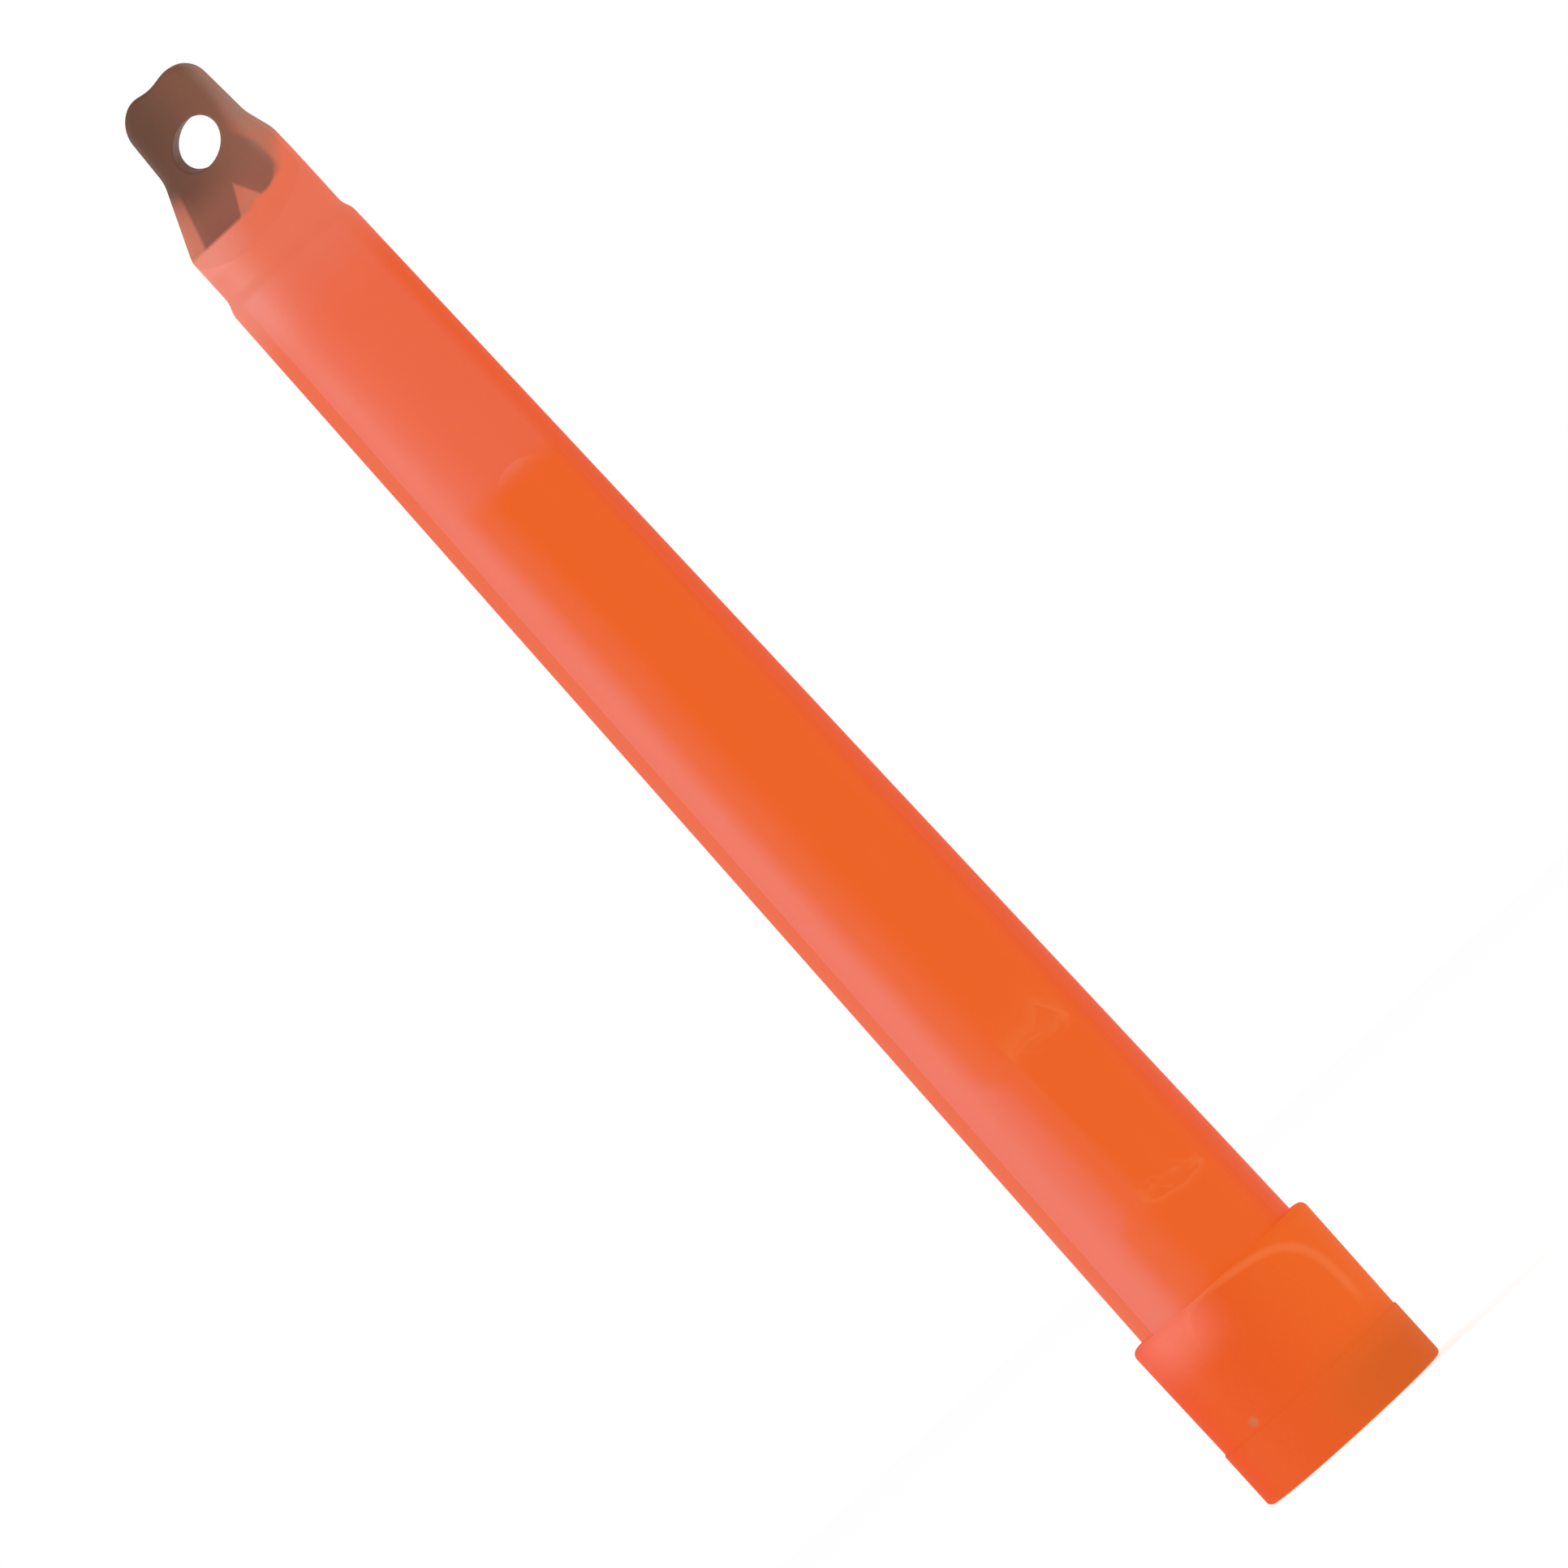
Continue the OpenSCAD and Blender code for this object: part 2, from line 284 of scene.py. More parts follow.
def tube_shell():
    """The tube's moulding as one skin: the bore from its tip down to the open end, across the
    end, then the outside up to the tab's tip. The hang hole is cut by a turned plug with lips,
    stretched along one line and squeezed across it."""
    rows = np.concatenate([turned(tube_bore_profile()), tube_outside_rows()])
    shell = rows_to_mesh(
        "tube_shell", rows, (0, 0, BORE_END + BORE_TIP_H), (TAB_X, 0, LENGTH - TIP_DIP)
    )
    lip = HOLE_R + HOLE_LIP
    half = np.concatenate([
        [(0.8 * HOLE_R, PLUG_HALF), (lip, PLUG_HALF), (lip, TAB_HALF_T + 0.02 * MM)],
        bend((lip, TAB_HALF_T - HOLE_LIP), HOLE_LIP, 90, 180, 6)[1:],
    ])
    other = half[::-1] * (1, -1)
    plug = turned(np.concatenate([half, [(HOLE_R, 0)], other]), 96)
    long, short = plug[..., 0] * HOLE_STRETCH, plug[..., 1] / HOLE_STRETCH
    x = TAB_X + long * math.cos(HOLE_LEAN) - short * math.sin(HOLE_LEAN)
    z = HOLE_Z + long * math.sin(HOLE_LEAN) + short * math.cos(HOLE_LEAN)
    plug = np.stack([x, plug[..., 2], z], axis=-1)
    ends = (TAB_X, PLUG_HALF, HOLE_Z), (TAB_X, -PLUG_HALF, HOLE_Z)
    cutter = rows_to_mesh("hole_plug", plug, *ends)
    cut = shell.modifiers.new("hang_hole", "BOOLEAN")
    cut.operation = "DIFFERENCE"
    cut.solver = "EXACT"
    cut.object = cutter
    graph = bpy.context.evaluated_depsgraph_get()
    drilled = bpy.data.meshes.new_from_object(shell.evaluated_get(graph), depsgraph=graph)
    shell.modifiers.clear()
    shell.data = drilled
    bpy.data.objects.remove(cutter)
    return shell


def cap_shell():
    """The cap turned from one outline: foot, foot ring, skirt, rounded mouth, and the socket down
    to its floor. A small dent is pressed into the front for the gate mark: at d gate radii from
    its middle its depth is the gate's depth times e to the minus fourth power of d, less a small
    bump round d = 1.35, and never below zero."""
    mouth_r = tube_r(CAP_MOUTH) + WELD_GAP
    seat_r = tube_r(CAP_FLOOR) + WELD_GAP
    skirt_r = CAP_R - FOOT_STEP
    outline = np.concatenate([
        straight((0.4 * MM, 0), (CAP_R - FOOT_ROUND, 0), 12),
        bend((CAP_R - FOOT_ROUND, FOOT_ROUND), FOOT_ROUND, -90, 0, 8),
        straight((CAP_R, FOOT_ROUND), (CAP_R, CAP_FLOOR - FOOT_STEP), 24)[1:],
        straight((CAP_R, CAP_FLOOR - FOOT_STEP), (skirt_r, CAP_FLOOR), 3),
        straight((skirt_r, CAP_FLOOR), (CAP_R - 0.02 * MM, CAP_MOUTH - MOUTH_ROUND), 56),
        bend((CAP_R - 0.02 * MM - MOUTH_ROUND, CAP_MOUTH - MOUTH_ROUND), MOUTH_ROUND, 0, 90, 10),
        bend((mouth_r + 0.15 * MM, CAP_MOUTH - 0.15 * MM), 0.15 * MM, 90, 180, 5),
        straight((mouth_r, CAP_MOUTH - 0.3 * MM), (seat_r, CAP_FLOOR), 14),
        straight((seat_r, CAP_FLOOR), (0.4 * MM, CAP_FLOOR), 10),
    ])
    rows = turned(outline, 288)
    gate_y = -math.sqrt(CAP_R**2 - GATE.x**2)
    away = np.linalg.norm(rows - (GATE.x, gate_y, GATE.z), axis=-1) / GATE_R
    dent = GATE_DEPTH * np.exp(-(away**4)) - GATE_EDGE * np.exp(-((3 * (away - 1.35)) ** 2))
    outward = rows * (1, 1, 0)
    outward = outward / np.linalg.norm(outward, axis=-1, keepdims=True)
    rows = rows - outward * np.clip(dent, 0, None)[..., None]
    return rows_to_mesh("cap_shell", rows, (0, 0, 0), (0, 0, CAP_FLOOR))


def liquid_body():
    """The liquid as a turned column inside the bore. Its surface climbs the wall: the height falls
    from the level by the climb's height times 1 minus e to the minus distance from the wall over
    the climb's width."""
    low_r = tube_r(LIQUID_LOW.z) - WALL - LIQUID_GAP
    top_r = tube_r(LEVEL) - WALL - LIQUID_GAP
    inward = np.linspace(0, 1, 24)[:, None] ** 2 * (top_r - 0.3 * MM)
    fall = CLIMB_H * (1 - np.exp(-inward / CLIMB_W))
    outline = np.concatenate([
        straight((0.3 * MM, LIQUID_LOW.z), (low_r, LIQUID_LOW.z), 8),
        straight((low_r, LIQUID_LOW.z), (top_r, LEVEL), 70),
        np.concatenate([top_r - inward, LEVEL - fall], axis=1),
    ])
    end = (0, 0, LEVEL - CLIMB_H)
    return rows_to_mesh("liquid_body", turned(outline), (0, 0, LIQUID_LOW.z), end)


def on_ampoule_line(across, along, height):
    """Points of the ampoule's own frame in the stick's: its foot, plus height up its line, plus
    across and along on two lines square to it. The first points back against the lean."""
    front = np.cross([0, 0, 1], -AXIS)
    front = front / np.linalg.norm(front)
    side = np.cross(front, AXIS)
    return (
        AMPOULE_FOOT
        + across[..., None] * side
        + along[..., None] * front
        + height[..., None] * AXIS
    )


def ragged(angle):
    """Height of a broken edge's small steps round the glass: three sine waves added."""
    waves = 0.5 * np.sin(7 * angle + 1) + 0.3 * np.sin(17 * angle + 2.2) + 0.2 * np.sin(41 * angle)
    return 0.13 * MM * waves


def lower_edge(angle):
    """Height of the lower break: a slanted plane with ragged steps."""
    return LOWER_BREAK + BREAK_SLOPE * AMPOULE_R * np.cos(angle - LOWER_SIDE) + ragged(angle)


def upper_edge(angle):
    """Height of the upper break: a slanted plane with ragged steps."""
    slant = BREAK_SLOPE * AMPOULE_R * np.cos(angle - UPPER_SIDE)
    return UPPER_BREAK - slant + ragged(angle + 1)


def notched_edge(angle):
    """The upper break with a V-shaped notch up one side: the height gains the notch's depth less
    the distance from its middle, where that is above zero."""
    away = np.abs(AMPOULE_R * np.sin(angle - NOTCH_SIDE))
    depth = np.clip(NOTCH_H - away, 0, None) * (np.cos(angle - NOTCH_SIDE) > 0)
    flat = UPPER_BREAK + depth + ragged(angle + 1)
    return np.where(depth > 0, np.maximum(upper_edge(angle), flat), upper_edge(angle))


def vial_part(name, edge, tip, way):
    """One end of the ampoule: out from its round tip, along the outside to the broken edge, over
    the edge and back inside. way is 1 for the foot and -1 for the far end. A wall point at share v
    stands at the mix of the dome's shoulder and the edge's height by v."""
    angle = np.arange(120) * (2 * np.pi / 120)
    height, radius = [], []
    for r, order in ((AMPOULE_R, 1), (AMPOULE_R - GLASS_T, -1)):
        turn = np.radians(np.linspace(4, 90, 16))[:, None]
        shoulder = tip + way * AMPOULE_R
        dome_h = shoulder - way * r * np.cos(turn) + 0 * angle
        share = (np.arange(1, 41) / 40)[:, None]
        wall_h = shoulder * (1 - share) + edge(angle) * share
        h = np.concatenate([dome_h, wall_h])
        wide = np.concatenate([r * np.sin(turn) + 0 * angle, r + 0 * wall_h])
        height.append(h[::order])
        radius.append(wide[::order])
    between = edge(angle)[None, :] + way * 0.06 * MM
    height.insert(1, between)
    radius.insert(1, AMPOULE_R - GLASS_T / 2 + 0 * between)
    height, radius = np.concatenate(height), np.concatenate(radius)
    rows = on_ampoule_line(radius * np.cos(angle), radius * np.sin(angle), height)
    outer, inner = (on_ampoule_line(np.array(0), np.array(0), np.array(tip + way * d))
                    for d in (0, GLASS_T))
    middle = (len(rows) - 1) / 2
    # rim marks the broken edge, where the glass's finish paints a highlight.
    rim = np.exp(-((np.abs(np.arange(len(rows)) - middle) / 1.6) ** 2))
    return rows_to_mesh(name, rows, outer, inner, rim)


def splinter(number):
    """A long curved strip of the ampoule's wall. At share v of its length its loop runs out along
    the outside and back along the inside between two leaning cracks, and its width closes to a
    point at both ends as the square root of 1 minus the eighth power of 2v - 1."""
    turn = 2 * math.pi / SPLINTERS
    middle = (LOWER_BREAK + UPPER_BREAK) / 2
    centre = turn * number

    def crack(n, h):
        """Angle of crack n at height h: it leans one way for even n and the other for odd n."""
        lean = CRACK_SLOPE if n % 2 == 0 else -CRACK_SLOPE
        return turn * (n + 0.5) - np.arcsin((h - middle) * lean / AMPOULE_R)

    share = np.linspace(0.006, 0.994, 70)[:, None]
    across = np.concatenate([np.linspace(0, 1, 25), np.linspace(1, 0, 25)])[None, :]
    radius = np.concatenate([np.full(25, AMPOULE_R), np.full(25, AMPOULE_R - GLASS_T)])[None, :]
    nominal = centre + turn * (across - 0.5)
    low = lower_edge(nominal) + CRACK_W
    high = upper_edge(nominal) - CRACK_W
    height = low + (high - low) * share
    before = (number + SPLINTERS - 1) % SPLINTERS
    wrap = -2 * math.pi if before > number else 0
    start = crack(before, height) + wrap + CRACK_W / 2 / AMPOULE_R
    end = crack(number, height) - CRACK_W / 2 / AMPOULE_R
    close = np.sqrt(1 - np.abs(2 * share - 1) ** 8)
    angle = (start + end) / 2 + (end - start) * (across - 0.5) * close
    push = -SHIFT if number % 2 == 0 else SHIFT
    x = radius * np.cos(angle) + push * math.cos(centre)
    y = radius * np.sin(angle) + push * math.sin(centre)
    rows = on_ampoule_line(x, y, height)
    ends = rows[0].mean(axis=0), rows[-1].mean(axis=0)
    # rim marks both broken ends, where the glass's finish paints a highlight.
    rim = np.exp(-((1 - np.abs(2 * share[:, 0] - 1)) / 0.03) ** 2)
    return rows_to_mesh(f"glass_splinter_{number + 1}", rows, *ends, rim)


def bubble():
    """A small air bubble held against the front of the bore: a ball pressed flat along Y."""
    x, z, r = 2 * MM, 111.7 * MM, 0.4 * MM
    turn = np.radians(np.linspace(8, 172, 15))
    ball = turned(np.stack([r * np.sin(turn), r * np.cos(turn)], axis=1), 32)
    y = -math.sqrt((tube_r(z) - WALL) ** 2 - x**2) + 0.55 * r
    rows = ball * (1, 0.5, 1) + (x, y, z)
    return rows_to_mesh("air_bubble", rows, (x, y, z + r), (x, y, z - r))


# ---------------------------------------------------------------- finishes


def plug_in(tree, socket, value):
    """Links a signal to a socket, or sets a plain number or colour on it."""
    if isinstance(value, Signal):
        tree.links.new(value.socket, socket)
    else:
        socket.default_value = value


class Signal:
    """A number that varies over a surface, so that sums on it can be written as Python."""

    def __init__(self, tree, socket):
        self.tree = tree
        self.socket = socket

    def maths(self, operation, *values):
        node = self.tree.nodes.new("ShaderNodeMath")
        node.operation = operation
        for socket, value in zip(node.inputs, values):
            plug_in(self.tree, socket, value)
        return Signal(self.tree, node.outputs[0])

    def __add__(self, other):
        return self.maths("ADD", self, other)

    def __sub__(self, other):
        return self.maths("SUBTRACT", self, other)

    def __rsub__(self, other):
        return self.maths("SUBTRACT", other, self)

    def __mul__(self, other):
        return self.maths("MULTIPLY", self, other)

    def __truediv__(self, other):
        return self.maths("DIVIDE", self, other)

    def __pow__(self, other):
        return self.maths("POWER", self, other)

    def __abs__(self):
        return self.maths("ABSOLUTE", self)

    __radd__ = __add__
    __rmul__ = __mul__


class Finish:
    """A material with its node tree, and the object's own x, y and z in millimetres."""

    def __init__(self, name):
        self.material = bpy.data.materials.new(name)
        self.material.use_nodes = True
        self.tree = self.material.node_tree
        self.tree.nodes.clear()
        place = self.node("ShaderNodeTexCoord", out="Object")
        scaled = {0: place, "Scale": 1 / MM}
        self.place = self.node("ShaderNodeVectorMath", {"operation": "SCALE"}, scaled)
        self.x, self.y, self.z = (
            self.node("ShaderNodeSeparateXYZ", {}, {0: self.place}, axis) for axis in "XYZ"
        )

    def node(self, kind, settings=None, sockets=None, out=0):
        """Adds a node: its settings first, then its sockets' values or links."""
        node = self.tree.nodes.new(kind)
        for name, value in (settings or {}).items():
            setattr(node, name, value)
        for name, value in (sockets or {}).items():
            plug_in(self.tree, node.inputs[name], value)
        return None if out is None else Signal(self.tree, node.outputs[out])

    def rise(self, value, low, high):
        """0 below low, 1 above high, and a smooth step between. Falls if low is above high."""
        ends = {"Value": value, "From Min": low, "From Max": high}
        return self.node("ShaderNodeMapRange", {"interpolation_type": "SMOOTHSTEP"}, ends)

    def mix(self, share, first, second):
        """Colour first where share is 0 and second where it is 1."""
        first, second = (c if isinstance(c, Signal) else (*c, 1) for c in (first, second))
        return self.node("ShaderNodeMix", {"data_type": "RGBA"}, {0: share, 6: first, 7: second}, 2)

    def noise(self, size, stretch=1, detail=3):
        """Cloudy noise from 0 to 1 with blobs about size mm across, drawn out along Z."""
        scale = (1 / size, 1 / size, 1 / size / stretch)
        place = self.node("ShaderNodeMapping", {}, {"Vector": self.place, "Scale": scale})
        sockets = {"Vector": place, "Scale": 1.0, "Detail": detail}
        return self.node("ShaderNodeTexNoise", {}, sockets)

    def surface(self, **sockets):
        """Ends the finish in one Principled shader."""
        named = {name.replace("_", " ").title(): value for name, value in sockets.items()}
        named = {name.replace("Ior", "IOR"): value for name, value in named.items()}
        shader = self.node("ShaderNodeBsdfPrincipled", {}, named)
        self.node("ShaderNodeOutputMaterial", {}, {"Surface": shader}, out=None)
        return self.material


def tube_plastic():
    """The tube's orange moulding: see-through and glowing on the tube, and pinker in the neck.
    Painted shade makes it deeper red along its two sides, and a painted sheen and highlight make it
    pinker towards -X, most of all on the neck and shoulder there. The flat tab is solid, and its
    brownish grey is painted as light that it gives off, with painted shade towards -X and the tip,
    a painted lighter band along its +X edge and a painted brighter glow near its foot. It has a lit
    notch at the bore's tip and lit strips along the shoulder. All of this is painted by place."""
    f = Finish("tube_plastic")
    z_tab = TAB_FOOT / MM
    radius = (f.x**2 + f.y**2) ** 0.5
    wall_r = (MOUTH_R - WALL / 2 + TAPER * SEAT) / MM - TAPER * f.z
    tip_share = (f.z - BORE_END / MM) / (BORE_TIP_H / MM)
    round_tip = f.rise(radius - (1 - tip_share) * (BORE_TIP_R / MM), 0.05, 0.3)
    above_bore = f.rise(f.z, BORE_END / MM + 0.05, BORE_END / MM + 0.12)
    outside = f.rise(radius - wall_r, -0.42, -0.15)
    outside = outside + (1 - outside) * above_bore * round_tip
    low = f.z - z_tab
    bay = f.rise(abs(low - 6.3), 2.8, 0.3)
    in_right = f.rise(5.0 - f.x - bay, -0.3, 0.35)
    in_left = f.rise(f.x + 4.6 - low * 0.3, -0.25, 0.3)
    in_left = in_left + (1 - in_left) * f.rise(low, 3.6, 5.6)
    lobe = f.rise(f.x, 2.6, 2.7) * (f.x - 2.6)
    over_foot = low - 0.3 * f.rise(f.x, 0.5, 1.5) - 0.2 * lobe**2
    above_foot = f.rise(over_foot / (1 + f.rise(f.x, 3.8, 5.4) * 5), -0.2, 0.2)
    out_of_notch = f.rise(abs(f.x - 1.0) + (low - 2.4) * 0.55, -0.12, 0.25)
    fade = f.rise(low, 0.6, 7.5)
    plate = above_foot * in_left * in_right * out_of_notch
    strip = above_foot * (1 - plate)
    dark = plate + strip * fade * 0.85
    drift = f.noise(5.0, 2.0)
    grain = f.noise(0.35, 1.0, 2)
    drawn = f.noise(0.8, 30.0, 2)
    # Painted sheen: the glow turns pinker towards -X, where the light falls on the tube.
    left_sheen = f.rise(f.x, 1.0, -6.5)
    neck = f.rise(f.z, LEVEL / MM - 7, LEVEL / MM + 1.0)
    # Painted shade: the glow is deeper red along the two X sides of the tube.
    side = f.rise(abs(f.x) / (wall_r + WALL / 2 / MM), 0.84, 1.0)
    glow = f.mix(left_sheen, (0.745, 0.108, 0.01), (0.71, 0.125, 0.05))
    glow = f.mix(side * 0.7, glow, (0.72, 0.055, 0.005))
    glow = f.mix(neck * 0.8, glow, (0.72, 0.165, 0.1))
    # Painted highlight: pinker on the -X side of the neck and, less strongly, of the shoulder.
    left_highlight = f.rise(f.x, 1.0, -4.5)
    shoulder = f.rise(f.z, BORE_END / MM - 0.3, BORE_END / MM + 0.6)
    glow = f.mix(neck * left_highlight * 0.8, glow, (0.735, 0.24, 0.19))
    glow = f.mix(shoulder * left_highlight * 0.35, glow, (0.84, 0.33, 0.27))
    glow = f.mix(strip * 0.9, glow, (0.46, 0.165, 0.105))
    glow = f.mix(drift * 0.25, glow, (0.7, 0.092, 0.008))
    # The tab's colour is painted light that it gives off: a painted lighter band along its +X edge,
    # painted shade towards -X and towards its tip, and a painted brighter glow near its foot.
    right_edge_light = f.rise(f.x, 4.0, 5.2)
    tab_painted_light = f.mix(f.rise(f.x, 4.5, -3.5), (0.2, 0.068, 0.038), (0.06, 0.018, 0.01))
    tab_painted_light = f.mix(right_edge_light, tab_painted_light, (0.3, 0.165, 0.12))
    tab_painted_light = f.mix(f.rise(low, 5.0, 1.5) * 0.8, tab_painted_light, (0.24, 0.07, 0.045))
    tip_shade = f.rise(low, 4.5, 10.5) * (0.35 + f.rise(f.x, 3.0, -3.5) * 0.35)
    tab_painted_light = f.mix(tip_shade, tab_painted_light, (0.02, 0.012, 0.004))
    tab_painted_light = f.mix(drift * 0.3, tab_painted_light, (0.09, 0.034, 0.02))
    light = f.mix(dark, glow, tab_painted_light)
    dye = f.mix(dark, (0.1, 0.016, 0.006), (0.09, 0.045, 0.03))
    dye = f.mix(grain * 0.3, dye, (0.05, 0.015, 0.01))
    height = drawn * 0.5 + grain * 0.25 + drift * 0.6
    bump = f.node("ShaderNodeBump", {}, {"Strength": 0.12, "Distance": 0.00004, "Height": height})
    return f.surface(
        base_color=dye,
        roughness=0.42 + grain * 0.1 + drift * 0.08,
        specular_ior_level=0.14,
        alpha=0.12 - neck * 0.1 + outside * (0.7 + neck * 0.22 + side * 0.14),
        emission_color=light,
        emission_strength=1.0,
        normal=bump,
    )


def cap_plastic():
    """The cap's deeper orange: nearly solid, with a dull gate mark. Painted shade makes it duller
    at the foot, most of all towards +X, and deeper red at the -X edge, and a painted highlight
    makes it pinker at the upper left. A paler line is painted on the front along an arch, where the
    fourth powers of the distance from its middle over its half-width and of the height over its own
    add to 1."""
    f = Finish("cap_plastic")
    drift = f.noise(4.0)
    grain = f.noise(0.3, 1.0, 2)
    # Painted shade: the glow is duller at the foot, most of all towards +X.
    foot = f.rise(f.z, CAP_FLOOR / MM + 2.5, CAP_FLOOR / MM - 3.5)
    right = f.rise(f.x, -2.0, 8.0)
    glow = f.mix(right, (0.7, 0.082, 0.008), (0.765, 0.12, 0.012))
    glow = f.mix(foot * (0.15 + right * 0.85), glow, (0.56, 0.1, 0.01))
    # Painted highlight: pinker at the upper left.
    upper_left_highlight = f.rise(f.x, -2.0, -7.5) * f.rise(f.z, 9.0, CAP_MOUTH / MM)
    glow = f.mix(upper_left_highlight * 0.8, glow, (0.7, 0.11, 0.07))
    glow = f.mix(drift * 0.3, glow, (0.74, 0.1, 0.01))
    arch_x, arch_foot, arch_tilt = 2.8, 9.0, 0.15
    arch_half_w, arch_h = 5.9, 7.9
    above = f.z + (f.x - arch_x) * arch_tilt - arch_foot
    over = above * 0.5 + abs(above) * 0.5
    arch = (abs(f.x - arch_x) / arch_half_w) ** 4 + (over / arch_h) ** 4
    arch = f.rise(abs(arch**0.25 - 1), 0.07, 0.01) * f.rise(f.y, 0.0, -3.0)
    arch = arch * f.rise(f.x + f.z, 10.5, 13.5) * f.rise(f.z, 7.0, 10.0)
    glow = f.mix(arch * 0.3, glow, (0.88, 0.24, 0.08))
    # Painted highlight: pinker still on the -X side near the mouth.
    pink_highlight_run = f.rise(f.x, 2.0, -3.5) * f.rise(f.z, 11.5, 16.5)
    glow = f.mix(pink_highlight_run * 0.8, glow, (0.83, 0.18, 0.125))
    # Painted shade: deeper red along the -X edge.
    edge = f.rise(f.x / (CAP_R / MM), -0.5, -1.0)
    glow = f.mix(edge * 0.6, glow, (0.7, 0.045, 0.0))
    off = [f.x - GATE.x / MM, f.z - GATE.z / MM]
    gate = f.rise((off[0] ** 2 + off[1] ** 2) ** 0.5, 0.65, 0.15) * f.rise(f.y, 0.0, -1.0)
    glow = f.mix(gate * 0.7, glow, (0.45, 0.19, 0.08))
    height = grain * 0.4 + drift * 0.6
    bump = f.node("ShaderNodeBump", {}, {"Strength": 0.15, "Distance": 0.00005, "Height": height})
    return f.surface(
        base_color=f.mix(grain, (0.12, 0.02, 0.008), (0.08, 0.014, 0.006)),
        roughness=0.55 + grain * 0.12,
        specular_ior_level=0.05,
        alpha=0.97,
        emission_color=glow,
        emission_strength=1.0,
        normal=bump,
    )


def glowing_liquid():
    """The liquid: cloudy, and deep orange from the +X side to a painted reach past the ampoule's
    line at rest. It is pinker beyond that and above the glass, and pinker still towards -X, which
    is a painted highlight. The reach is shorter where the glass is broken and about the waist. The
    paint stays put when the glass slides."""
    f = Finish("glowing_liquid")
    cloud = f.noise(7.0, 2.5)
    wisp = f.noise(1.6, 4.0)
    lean = float(AXIS[0] / AXIS[2])
    line_x = AMPOULE_FOOT[0] / MM + lean * (f.z - AMPOULE_FOOT[2] / MM)
    beside = line_x - f.x
    broken_z, waist_z = 33.5, 94.0
    broken = f.rise(abs(f.z - broken_z), 9.5, 6.5)
    waist = f.rise(abs(f.z - waist_z), 20.0, 4.0)
    reach = 4.6 - broken * 1.9 - waist * 0.6
    outside = f.rise(beside - reach, -1.1, 1.0)
    beyond = f.rise(f.z, DOME_HIGH.z / MM - 2.5, DOME_HIGH.z / MM + 0.6)
    # Beyond the reach the liquid is pinker; it turns pinker still towards -X, a painted highlight.
    pink_haze_and_highlight = f.mix(f.rise(f.x, 3.0, -4.0), (0.82, 0.2, 0.3), (0.85, 0.36, 0.5))
    core = (0.85, 0.11, 0.0)
    share = outside + (1 - outside) * beyond
    glow = f.mix(share, core, pink_haze_and_highlight)
    glow = f.mix(cloud * 0.2, glow, (0.82, 0.12, 0.03))
    glow = f.mix(f.rise(wisp, 0.45, 0.8) * 0.2, glow, (0.9, 0.2, 0.1))
    return f.surface(
        base_color=(0.1, 0.015, 0.005, 1),
        roughness=0.3 + cloud * 0.2,
        specular_ior_level=0.1,
        alpha=0.6 + cloud * 0.12,
        emission_color=glow,
        emission_strength=1.0,
    )


def ampoule_glass():
    """The glass: clear and lit deep orange, with painted highlights that make its broken edges and
    its round end paler.
    """
    f = Finish("ampoule_glass")
    streak = f.noise(1.5, 12.0)
    rim = f.node("ShaderNodeAttribute", {"attribute_name": "rim"}, out="Fac")
    glow = f.mix(streak * 0.4, (0.85, 0.13, 0.008), (0.8, 0.11, 0.02))
    # Painted highlight: the broken edges are paler.
    glow = f.mix(rim, glow, (1.0, 0.75, 0.35))
    dome_z = DOME_HIGH.z / MM
    # Painted highlight: the round end is paler.
    dome = f.rise(f.z, dome_z - 1.3, dome_z - 0.1)
    glow = f.mix(dome, glow, (1.0, 0.62, 0.72))
    return f.surface(
        base_color=(0.1, 0.02, 0.005, 1),
        roughness=0.12 + streak * 0.12,
        specular_ior_level=0.4,
        alpha=0.3 + rim * 0.6 + dome * 0.6,
        emission_color=glow,
        emission_strength=1.0,
    )


def trapped_air():
    """The bubble's paler skin: painted light, a paler glow though the air in it gives off none."""
    f = Finish("trapped_air")
    glow = f.mix(f.noise(0.3), (0.86, 0.2, 0.17), (0.9, 0.3, 0.24))
    return f.surface(
        base_color=(0.4, 0.1, 0.08, 1),
        roughness=0.2,
        specular_ior_level=0.5,
        alpha=0.5,
        emission_color=glow,
        emission_strength=1.0,
    )


def pale_floor():
    """A matt white floor with a faint mottle near the stick. Further out it gives off its own
    light, so that it melts into the background."""
    f = Finish("pale_floor")
    far = f.rise((f.x**2 + f.y**2) ** 0.5, 9.5, 30.0)
    tone = f.mix(f.noise(90.0), (0.93, 0.93, 0.93), (0.9, 0.9, 0.9))
    return f.surface(
        base_color=f.mix(far, tone, (0.2, 0.2, 0.2)),
        roughness=0.9,
        specular_ior_level=0.0,
        emission_color=f.mix(far, (0.6, 0.6, 0.6), (0.96, 0.96, 0.96)),
        emission_strength=0.95,
    )


# ---------------------------------------------------------------- pieces


def fit(piece, body, slot, material, *nodes):
    """Gives a piece its finish and its body, and hides the CAD nodes that it stands for."""
    piece.data.materials.clear()
    piece.data.materials.append(material)
    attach(piece, body)
    if nodes:
        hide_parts(*nodes)
    return piece


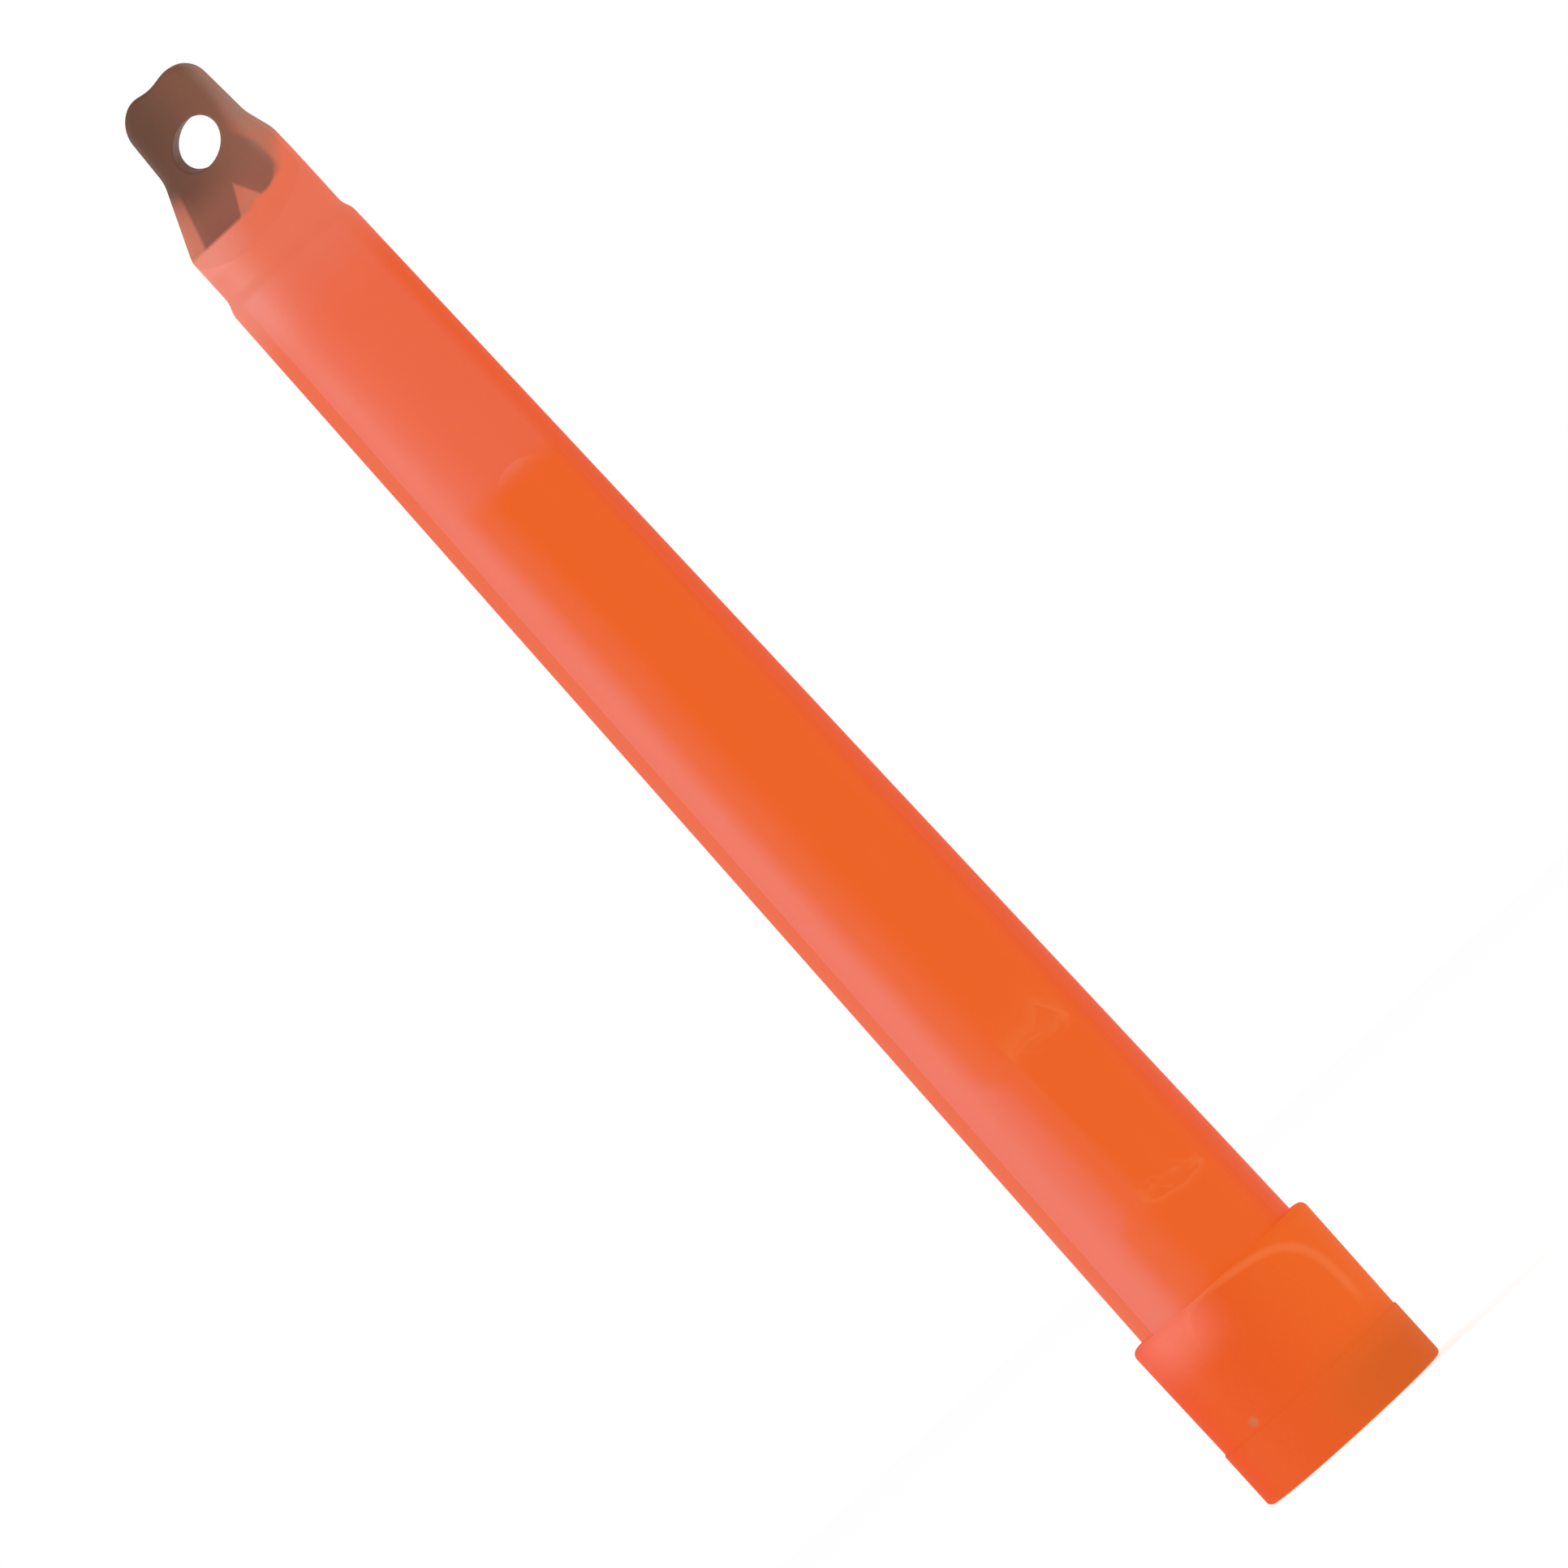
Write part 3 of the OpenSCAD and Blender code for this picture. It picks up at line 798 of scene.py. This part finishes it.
glass = ampoule_glass()
fit(tube_shell(), "case", "tube_plastic", tube_plastic(), "outer_tube")
fit(cap_shell(), "case", "cap_plastic", cap_plastic(), "end_cap")
fit(liquid_body(), "case", "glowing_liquid", glowing_liquid(), "glowing_liquid")
fit(bubble(), "case", "glowing_liquid", trapped_air())
bottom = vial_part("glass_bottom", lower_edge, 0, 1)
fit(bottom, "ampoule_bottom", "ampoule_glass", glass, "ampoule_bottom")
top = vial_part("glass_top", notched_edge, AMPOULE_LENGTH, -1)
fit(top, "ampoule_top", "ampoule_glass", glass, "ampoule_top")
for number in range(SPLINTERS):
    node = f"splinter_{number + 1}"
    fit(splinter(number), node, "ampoule_glass", glass, node)


# ---------------------------------------------------------------- stage, light and camera


def floor_sheet():
    """A wide round floor just under the cap: rings of growing radius at one height, and the same
    rings again under them."""
    radius = np.array([0.02, 0.1, 0.3, 0.6, 0.9])[:, None]
    top = np.concatenate([radius, 0 * radius - FLOOR_DROP], axis=1)
    under = top[::-1] - (0, FLOOR_T)
    rows = turned(np.concatenate([top, under]), 96)
    return rows_to_mesh("floor", rows, (0, 0, -FLOOR_DROP), (0, 0, -FLOOR_DROP - FLOOR_T))


floor = floor_sheet()
floor.data.materials.append(pale_floor())

AZIMUTH = math.radians(13)
ROLL = math.radians(42.29)  # the stick's line leans this far to the left of upright
LENS = 500.0
SENSOR = 36.0
VIEW_WIDTH = 130.25 * MM
AIM_UP = 71.6 * MM
AIM_SIDE = 0.94 * MM
SKY_LIGHT = 0.45  # strength of the background as a light; it is seen at 1

sideways = Vector((math.cos(AZIMUTH), math.sin(AZIMUTH), 0))
upward = Vector((0, 0, 1))
back = sideways.cross(upward)
right = math.cos(ROLL) * sideways - math.sin(ROLL) * upward
up = math.sin(ROLL) * sideways + math.cos(ROLL) * upward
aim = AIM_UP * upward + AIM_SIDE * sideways
lens = bpy.data.cameras.new("camera")
lens.lens = LENS
lens.sensor_width = SENSOR
lens.clip_start = 0.01
lens.clip_end = 20
camera = bpy.data.objects.new("camera", lens)
eye = aim + back * (VIEW_WIDTH * LENS / SENSOR)
camera.matrix_world = Matrix((
    (right.x, up.x, back.x, eye.x),
    (right.y, up.y, back.y, eye.y),
    (right.z, up.z, back.z, eye.z),
    (0, 0, 0, 1),
))
bpy.context.scene.collection.objects.link(camera)
bpy.context.scene.camera = camera


def softbox(name, place, size, watts):
    """A rectangular lamp at a place, facing the middle of the stick."""
    lamp = bpy.data.lights.new(name, "AREA")
    lamp.shape = "RECTANGLE"
    lamp.size, lamp.size_y = size
    lamp.energy = watts
    thing = bpy.data.objects.new(name, lamp)
    toward = Vector((0, 0, LENGTH / 2)) - Vector(place)
    thing.location = place
    thing.rotation_euler = toward.to_track_quat("-Z", "Y").to_euler()
    bpy.context.scene.collection.objects.link(thing)


softbox("left_softbox", (-0.62, -0.24, 0.09), (0.34, 0.5), 5.0)
softbox("right_fill", (0.7, -0.5, 0.3), (0.4, 0.4), 1.0)

world = bpy.data.worlds.new("studio_white")
bpy.context.scene.world = world
world.use_nodes = True
sky = world.node_tree
sky.nodes.clear()
path = sky.nodes.new("ShaderNodeLightPath")
seen = Signal(sky, path.outputs["Is Camera Ray"])
bright = sky.nodes.new("ShaderNodeBackground")
plug_in(sky, bright.inputs["Strength"], SKY_LIGHT + seen * (1 - SKY_LIGHT))
bright.inputs["Color"].default_value = (1, 1, 1, 1)
sky_out = sky.nodes.new("ShaderNodeOutputWorld")
sky.links.new(bright.outputs[0], sky_out.inputs["Surface"])
bpy.context.scene.view_settings.view_transform = "Standard"
